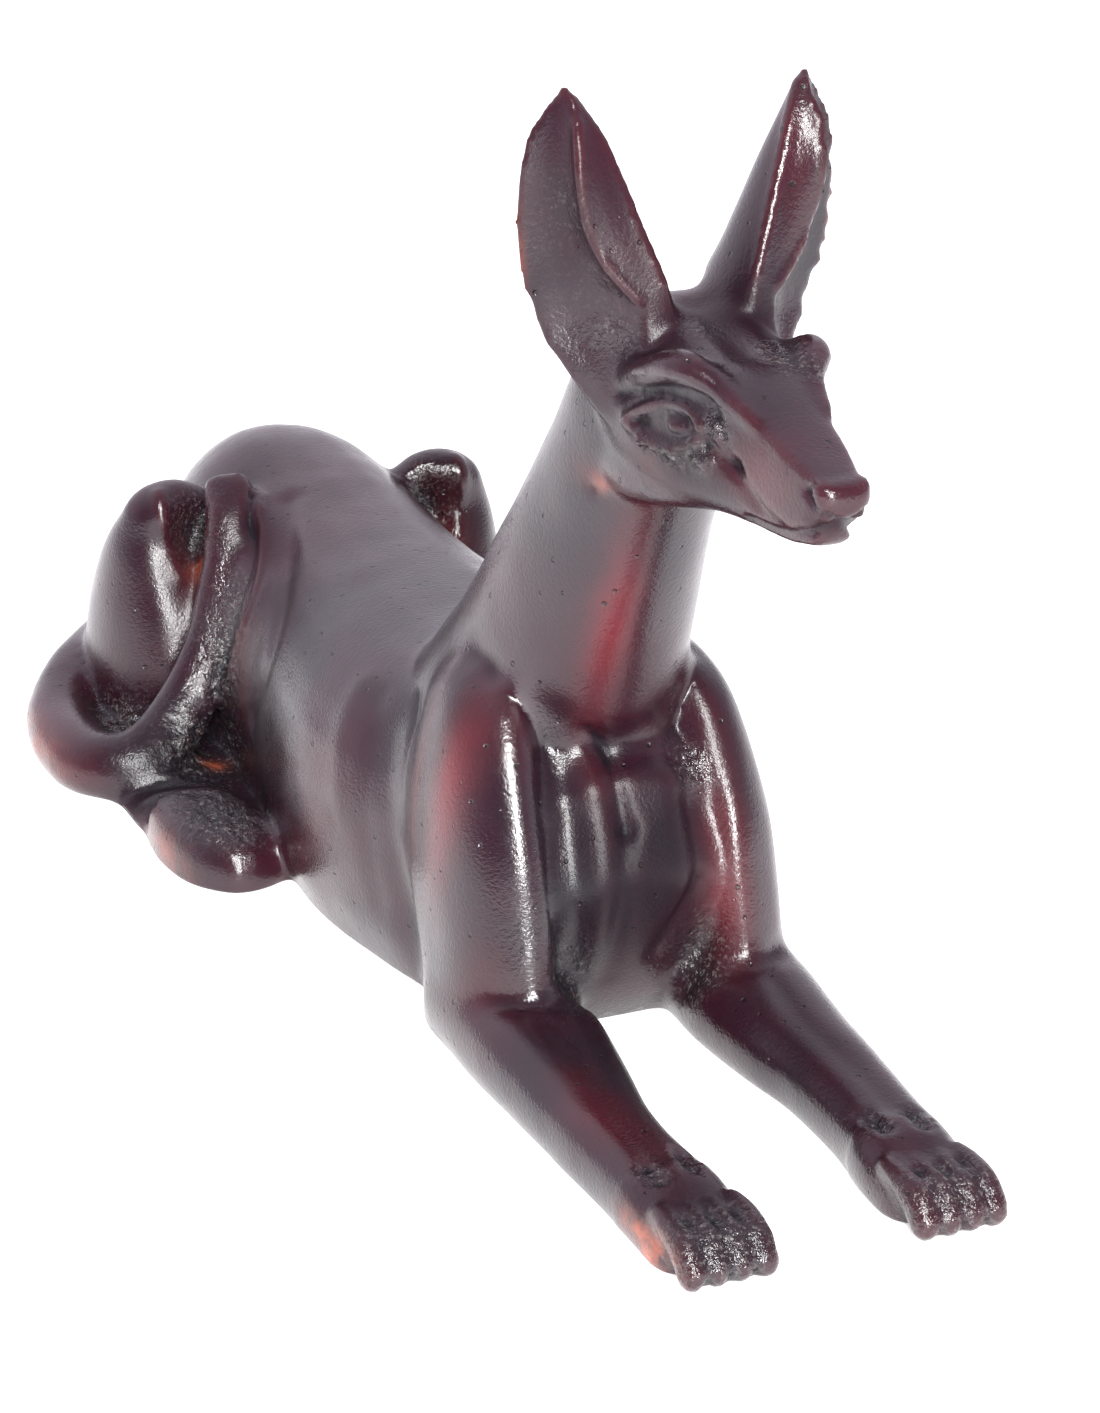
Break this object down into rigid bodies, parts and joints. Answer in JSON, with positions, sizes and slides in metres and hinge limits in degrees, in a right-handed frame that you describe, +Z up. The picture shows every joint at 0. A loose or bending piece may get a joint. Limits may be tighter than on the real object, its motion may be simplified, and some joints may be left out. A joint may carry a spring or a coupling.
{
  "type": "recumbent jackal statuette",
  "caption": "Small solid cast-resin figure of a slender jackal lying down with upright ears, forelegs stretched ahead and its tail wrapped round the right haunch.",
  "frame": {"origin": "on the figure's plane of symmetry, on the flat underside, below the trunk", "axes": "+Y towards the rump, so the figure faces -Y; +Z up; +X is the figure's own left"},
  "size_m": [0.0537, 0.1377, 0.076],
  "materials": {
    "cherry_resin": "dark cherry amber-look casting resin, semi-gloss, slightly translucent at thin edges, dusty dark patina in the recesses"
  },
  "bodies": {
    "root": {"jackal_statue": "cherry_resin"}
  },
  "joints": []
}
